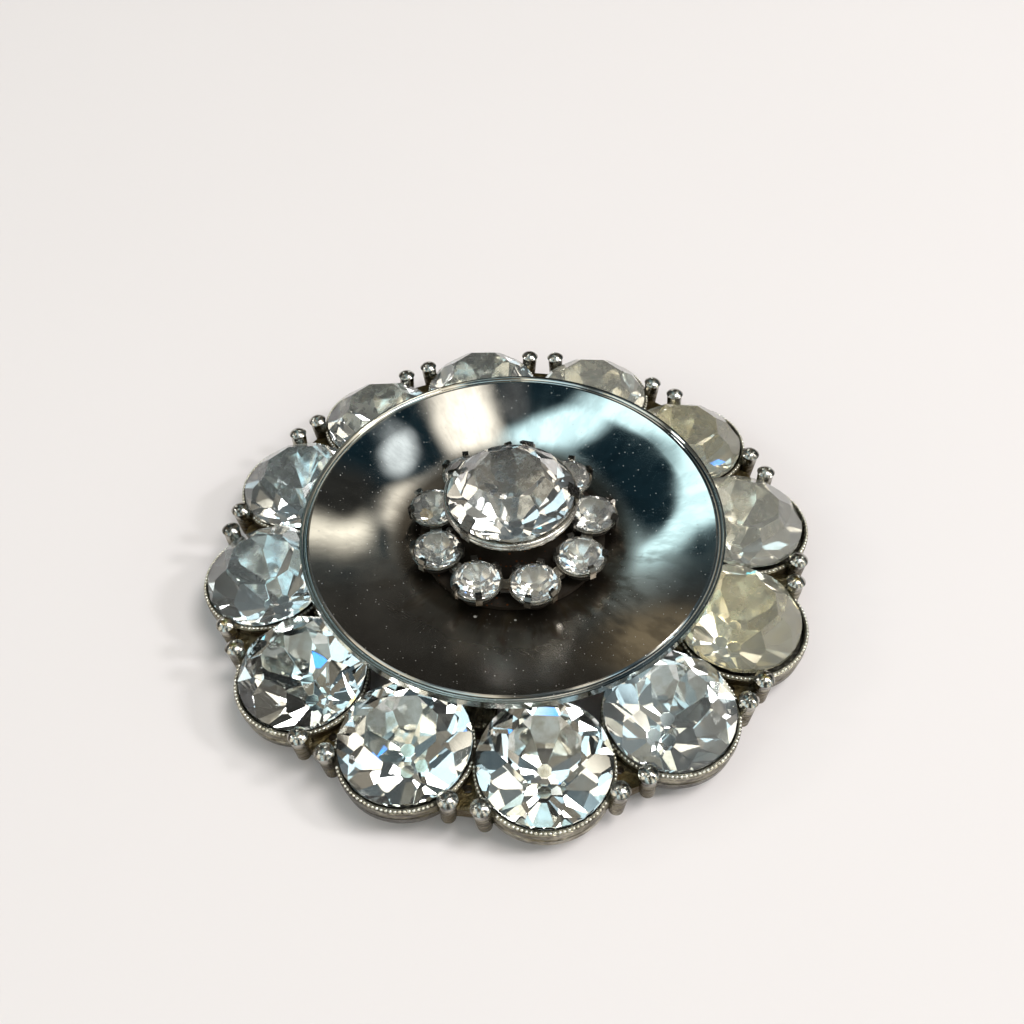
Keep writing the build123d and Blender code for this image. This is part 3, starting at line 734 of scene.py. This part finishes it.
clear_glass = glass("crystal", (0.975, 0.995, 0.985, 1), (0.95, 0.965, 0.955, 1), 0.99)
hazy_glass = glass("crystal_hazy", (0.97, 0.985, 0.98, 1), (0.90, 0.93, 0.92, 1), 0.95)
cream_glass = glass("crystal_cream", (0.985, 0.975, 0.925, 1), (0.95, 0.93, 0.85, 1), 0.89)
yellow_glass = glass("crystal_yellowed", (0.995, 0.965, 0.85, 1), (0.96, 0.91, 0.73, 1), 0.89)
small_glass = glass("small_crystal", (0.985, 0.98, 0.97, 1), (0.94, 0.93, 0.91, 1), 0.93)
centre_glass = glass("centre_crystal", (0.985, 0.985, 0.98, 1), (0.94, 0.94, 0.93, 1), 0.965)

# %% [markdown]
# The foil is a mirror that has aged. It is bright silver or a little worn behind the front stones, steel grey
# and cream behind those at the left and the back, yellow at the far right, and dark behind the middle stone.
# Cloudy patches show where damp got in.

# %% Finishes: foil
def foil_metal(name, bright, cloudy, cover, rough_low, rough_span, cloud_size=1.4):
    """Mirror foil with cloudy patches."""
    material, tree, place = start_material(name)
    cloud = use_group(tree, patches, Place=place, Size=cloud_size, Cover=cover, Edge=0.2, Detail=2.0)["Mask"]
    return end_material(material, {
        "Base Color": blend(tree, cloud, bright, cloudy),
        "Roughness": add_up(tree, rough_low, (cloud, rough_span)), "Metallic": 1.0})


silver_foil = foil_metal("foil_silver", (0.94, 0.97, 0.96, 1), (0.70, 0.68, 0.60, 1), 0.35, 0.03, 0.12)
worn_foil = foil_metal("foil_worn", (0.84, 0.86, 0.84, 1), (0.52, 0.49, 0.40, 1), 0.45, 0.03, 0.12)
steel_foil = foil_metal("foil_steel", (0.80, 0.91, 0.92, 1), (0.50, 0.54, 0.56, 1), 0.45, 0.06, 0.3)
cream_foil = foil_metal("foil_cream", (0.99, 0.975, 0.89, 1), (0.88, 0.85, 0.75, 1), 0.45, 0.08, 0.3)
yellow_foil = foil_metal("foil_yellow", (1.0, 0.97, 0.81, 1), (0.93, 0.87, 0.68, 1), 0.5, 0.10, 0.25)
small_foil = foil_metal("foil_small", (0.86, 0.86, 0.83, 1), (0.60, 0.56, 0.46, 1), 0.45, 0.22, 0.2)
dark_foil = foil_metal("foil_dark", (0.50, 0.515, 0.50, 1), (0.22, 0.20, 0.165, 1), 0.6, 0.1, 0.25, 0.8)

# %% [markdown]
# The large stones haven't all aged alike, so a list pairs each with its glass and its foil, from the front one
# clockwise. A solid from CAD may have a plain material already, and its finish then takes that one's place.

# %% Give every piece its finish
large_stones = [
    (clear_glass, worn_foil), (clear_glass, worn_foil), (clear_glass, silver_foil),
    (hazy_glass, steel_foil), (hazy_glass, steel_foil), (hazy_glass, cream_foil),
    (hazy_glass, cream_foil), (cream_glass, cream_foil), (yellow_glass, yellow_foil),
    (cream_glass, cream_foil), (yellow_glass, yellow_foil), (hazy_glass, silver_foil),
]
stone_finish = dict(zip(large_names, large_stones, strict=True))
stone_finish.update({name: (small_glass, small_foil) for name in small_names})
stone_finish["centre_stone"] = (centre_glass, dark_foil)
solid_finish = {"frame": cast_finish, "dish": mirror_finish, "rosette": stamped_finish,
                "centre_setting": setting_finish, "pin_back": pin_finish}
solid_finish.update({name: kind for name, (kind, _) in stone_finish.items()})
for name, finish in solid_finish.items():
    solid = nodes[name]
    if solid.material_slots:
        solid.material_slots[0].material = finish
    else:
        solid.data.materials.append(finish)
for name, foil in foils.items():
    foil.data.materials.append(stone_finish[name][1])
    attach(foil, "root")
for cup_row in rows:
    cup_row.data.materials.append(bead_finish)
    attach(cup_row, "root")
print("solids with a finish:", len(solid_finish), "new pieces:", len(foils) + len(rows))

# %% [markdown]
# The brooch lies on a pale matt table that runs out of sight. One large plane does for it, with a faint change
# of tone so that it isn't one flat colour. It isn't part of the brooch.

# %% Floor
floor_size = 4.0
floor_pale, floor_paler = (0.81, 0.752, 0.752, 1), (0.825, 0.767, 0.767, 1)

bpy.ops.object.select_all(action="DESELECT")
bpy.ops.mesh.primitive_plane_add(size=floor_size, location=(0, 0, 0))
floor = bpy.context.object
floor.name = "floor"
floor_finish, tree, place = start_material("pale_table")
tone = noise(tree, place, 0.02, 2.0)
end_material(floor_finish, {
    "Base Color": blend(tree, tone, floor_pale, floor_paler), "Roughness": 0.85, "Specular IOR Level": 0.1})
floor.data.materials.append(floor_finish)

# %% [markdown]
# Polished things are drawn by what they reflect. The light here is a soft sky, as a light tent gives, with soft
# lamps in it and dark cards between them. They are drawn in the world itself, so that they stay the same from
# all sides. Each is a soft-edged oval on a round map of the sky, whose middle is straight up and whose edge is
# the horizon. A Mapping node in texture mode moves, turns and sizes the map so that the oval becomes a circle
# of radius one.

# %% Group: a soft oval on the map of the sky
nowhere = (0, 0, 0)

oval, come, go = start_group(
    "sky_oval", {"Map": nowhere, "Centre": nowhere, "Turn": nowhere, "Reach": (1, 1, 1), "Core": 0.3}, ["Mask"])
circle = add_node(oval, "ShaderNodeMapping", {
    "Vector": come["Map"], "Location": come["Centre"], "Rotation": come["Turn"], "Scale": come["Reach"]},
    vector_type="TEXTURE").outputs[0]
reach = vector_maths(oval, "LENGTH", circle)["Value"]
end_group(oval, go, {"Mask": spread(oval, reach, come["Core"], 1.0, 1.0, 0.0)})

# %% [markdown]
# The bright sweep round the side of the dish is a curved lamp: part of a ring, soft across and at its ends. The
# map is moved to the ring's middle and turned, and then only the distance from the ring and the angle round it
# count.

# %% Group: part of a ring on the map of the sky
full_share = 0.8

ring, come, go = start_group(
    "sky_ring", {"Map": nowhere, "Centre": nowhere, "Turn": nowhere, "Radius": 0.2, "Width": 0.03, "Span": 1.0,
                 "Core": 0.3}, ["Mask"])
own = add_node(ring, "ShaderNodeMapping", {
    "Vector": come["Map"], "Location": come["Centre"], "Rotation": come["Turn"]},
    vector_type="TEXTURE").outputs[0]
reach = vector_maths(ring, "LENGTH", own)["Value"]
away = maths(ring, "ABSOLUTE", minus(ring, reach, come["Radius"]))
across = spread(ring, maths(ring, "DIVIDE", away, come["Width"]), come["Core"], 1.0, 1.0, 0.0)
apart = add_node(ring, "ShaderNodeSeparateXYZ", {0: own}).outputs
turned = maths(ring, "ABSOLUTE", maths(ring, "ARCTAN2", apart["Y"], apart["X"]))
around = spread(ring, turned, times(ring, come["Span"], full_share), come["Span"], 1.0, 0.0)
end_group(ring, go, {"Mask": times(ring, across, around)})

# %% [markdown]
# Cut stones need contrast: a facet shows one small piece of the sky, and next to it another facet shows another
# piece. So the front of the sky is a check of bright windows and dark gaps, some cool and some warm. Two sine
# waves multiplied give the check, and a third, on a slant, chooses warm or cool. The windows end behind the
# brooch, where the dish has lamps of its own, and towards the horizon the sky fades to an even tone.

# %% The sky: windows
cool_gap, warm_gap = (0.07, 0.10, 0.115, 1), (0.20, 0.175, 0.135, 1)
cool_window, warm_window = (0.98, 1.30, 1.42, 1), (1.62, 1.50, 1.25, 1)
low_sky, front_low_sky = (0.16, 0.145, 0.125, 1), (0.42, 0.43, 0.41, 1)
right_start, right_rate = 0.9, 7.2
back_start, back_rate = 3.5, 6.6
slant_right_rate, slant_back_rate = 11.0, 5.0
window_edge, windows_end = (-0.08, 0.1), (0.28, 0.14)
warm_edge, horizon_edge, front_edge = (-0.5, 0.5), (0.05, 0.4), (-0.3, -0.8)

world = bpy.data.worlds.new("studio")
bpy.context.scene.world = world
world.use_nodes = True
sky = world.node_tree
toward = add_node(sky, "ShaderNodeTexCoord").outputs["Generated"]
apart = add_node(sky, "ShaderNodeSeparateXYZ", {0: toward}).outputs
sky_map = add_node(sky, "ShaderNodeCombineXYZ", {"X": apart["X"], "Y": apart["Y"]}).outputs[0]
across = maths(sky, "SINE", add_up(sky, right_start, (apart["X"], right_rate)))
along = maths(sky, "SINE", add_up(sky, back_start, (apart["Y"], back_rate)))
slant = add_up(sky, times(sky, apart["X"], slant_right_rate), (apart["Y"], slant_back_rate))
warm = spread(sky, maths(sky, "SINE", slant), *warm_edge)
windows = spread(sky, times(sky, across, along), *window_edge)
windows = times(sky, windows, spread(sky, apart["Y"], *windows_end))
light = blend(sky, windows, blend(sky, warm, cool_gap, warm_gap), blend(sky, warm, cool_window, warm_window))
horizon = blend(sky, spread(sky, apart["Y"], *front_edge), low_sky, front_low_sky)
light = blend(sky, spread(sky, apart["Z"], *horizon_edge), horizon, light)
print("nodes of the sky so far:", len(sky.nodes))

# %% [markdown]
# A sky that shows each direction as a colour tells, for any spot on the dish, what part of the sky it mirrors.
# The first seven rows were set one by one. The other rows and the arc weren't: their places and sizes come from
# a least-squares fit to how bright the dish is in a photo, mostly just rounded, and their tints began as the
# photo's average colours there. Only some were changed later. Later rows lie over earlier ones.

# %% The sky: cards and lamps
cards_and_lamps = [  # right, back, half width, half length, turn in degrees, core, brightness, colour
    # the dark of the camera, and small lamps that flash blue, cyan and yellow in the stones
    (0.00, -0.62, 0.10, 0.08, 0, 0.6, 0.03, (1.0, 1.0, 1.0)),
    (0.03, -0.10, 0.045, 0.055, 20, 0.5, 3.0, (0.05, 0.28, 1.0)),
    (-0.33, 0.10, 0.03, 0.045, -20, 0.5, 3.5, (0.15, 0.75, 1.0)),
    (-0.60, -0.38, 0.04, 0.04, 0, 0.5, 2.4, (1.0, 0.72, 0.25)),
    # blue-black and brown cards that keep the dish dark, with a faint brown lamp
    (0.00, 0.56, 0.36, 0.42, 0, 0.8, 0.022, (0.35, 0.95, 1.30)),
    (0.03, 0.86, 0.30, 0.19, 0, 0.7, 0.04, (1.0, 0.95, 0.82)),
    (-0.12, 0.86, 0.07, 0.09, 0, 0.3, 0.26, (1.0, 0.80, 0.50)),
    # the dish's bright cyan and cream highlights
    (-0.08, 0.37, 0.160, 0.072, 25, 0.35, 1.75, (0.70, 0.97, 1.0)),
    (0.08, 0.315, 0.077, 0.190, 10, 0.35, 1.75, (1.0, 0.93, 0.79)),
    (0.19, 0.42, 0.039, 0.081, 0, 0.3, 1.2, (0.92, 1.0, 1.0)),
    (0.15, 0.555, 0.074, 0.086, 0, 0.38, 1.5, (1.0, 0.92, 0.76)),
    (0.25, 0.61, 0.058, 0.099, 20, 0.3, 1.6, (1.0, 0.93, 0.76)),
    # its fainter ones, and two dark gaps
    (-0.11, 0.71, 0.104, 0.108, 0, 0.3, 0.45, (0.85, 1.0, 0.97)),
    (0.13, 0.77, 0.06, 0.10, 20, 0.3, 0.12, (1.0, 0.95, 0.85)),
    (0.256, 0.546, 0.069, 0.105, 0, 0.3, 0.03, (1.0, 1.0, 0.9)),
    (-0.01, 0.29, 0.040, 0.078, 0, 0.3, 0.10, (0.95, 1.0, 1.0)),
]
arcs = [  # right, back, radius, half width, middle and half span in degrees, core, brightness, colour
    (-0.05, 0.518, 0.219, 0.027, 178, 69, 0.36, 1.8, (0.70, 0.98, 1.0)),
]


def lay_over(light, mask, brightness, tint):
    """Lays a lamp or a card over the light of the sky."""
    return blend(sky, mask, light, (*(brightness * channel for channel in tint), 1))


for right, back, width, length, turn, core, brightness, tint in cards_and_lamps:
    mask = use_group(sky, oval, Map=sky_map, Centre=(right, back, 0), Turn=(0, 0, math.radians(turn)),
                     Reach=(width, length, 1), Core=core)["Mask"]
    light = lay_over(light, mask, brightness, tint)
for right, back, radius, width, middle, span, core, brightness, tint in arcs:
    mask = use_group(sky, ring, Map=sky_map, Centre=(right, back, 0), Turn=(0, 0, math.radians(middle)),
                     Radius=radius, Width=width, Span=math.radians(span), Core=core)["Mask"]
    light = lay_over(light, mask, brightness, tint)
light = blend(sky, maths(sky, "GREATER_THAN", apart["Z"], 0.0), low_sky, light)
feed(sky, sky.nodes["Background"].inputs, {"Color": light})
world.cycles.sampling_method = "MANUAL"
world.cycles.sample_map_resolution = 512
print("cards and lamps:", len(cards_and_lamps) + len(arcs))

# %% [markdown]
# A large soft lamp, high up and a little to the right, lights the table, throws the soft shadow to the left and
# gives the stones a bright thing to sparkle with. Two small ones at the sides add glints: a clear one at the
# right, and a faint one at the left. Area lamps are used because their size sets how soft a shadow is.

# %% Lamps
def soft_lamp(name, azimuth, elevation, distance, size, power, tint):
    """A round area lamp that looks at the brooch."""
    data = bpy.data.lights.new(name, "AREA")
    data.shape = "DISK"
    data.size = size
    data.energy = power
    data.color = tint
    lamp = bpy.data.objects.new(name, data)
    bpy.context.scene.collection.objects.link(lamp)
    steep = math.radians(elevation)
    upwards = Vector((*polar(math.cos(steep), azimuth), math.sin(steep)))
    lamp.location = upwards * distance
    lamp.rotation_euler = (-upwards).to_track_quat("-Z", "Y").to_euler()
    print(name, "at", [round(v, 3) for v in lamp.location])


soft_lamp("lamp_above", -15, 66, 1.0, 0.42, 4.9, (1.0, 0.985, 0.96))
soft_lamp("lamp_left", 170, 35, 0.9, 0.12, 0.45, (1.0, 0.98, 0.95))
soft_lamp("lamp_right", -10, 40, 0.9, 0.12, 1.8, (0.96, 0.98, 1.0))

# %% [markdown]
# The camera stands where the photographer's stood. Its place, aim, roll and lens come from a fit to the
# outlines of the stones, the prong heads and the rim of the dish. A camera looks along its own minus Z, so its
# axes to the right, up and backwards are the first three columns of its matrix, and its place is the fourth.

# %% Camera
eye = Vector((-0.551, -70.487, 92.216)) * MM
aim = Vector((0.536, 5.848, 3.974)) * MM
roll = -0.043
forward = (aim - eye).normalized()
level = forward.cross(Vector((0, 0, 1))).normalized()
upright = level.cross(forward)
right = level * math.cos(roll) + upright * math.sin(roll)
up = upright * math.cos(roll) - level * math.sin(roll)
camera_data = bpy.data.cameras.new("camera")
camera_data.lens = 39.02
camera_data.sensor_width = 36
camera_data.clip_start = 0.005
camera_data.clip_end = 10
camera = bpy.data.objects.new("camera", camera_data)
camera.matrix_world = Matrix((
    (right.x, up.x, -forward.x, eye.x),
    (right.y, up.y, -forward.y, eye.y),
    (right.z, up.z, -forward.z, eye.z),
    (0, 0, 0, 1),
))
bpy.context.scene.collection.objects.link(camera)
bpy.context.scene.camera = camera
bpy.context.scene.view_settings.view_transform = "Standard"
print("camera at", [round(v, 4) for v in camera.location])
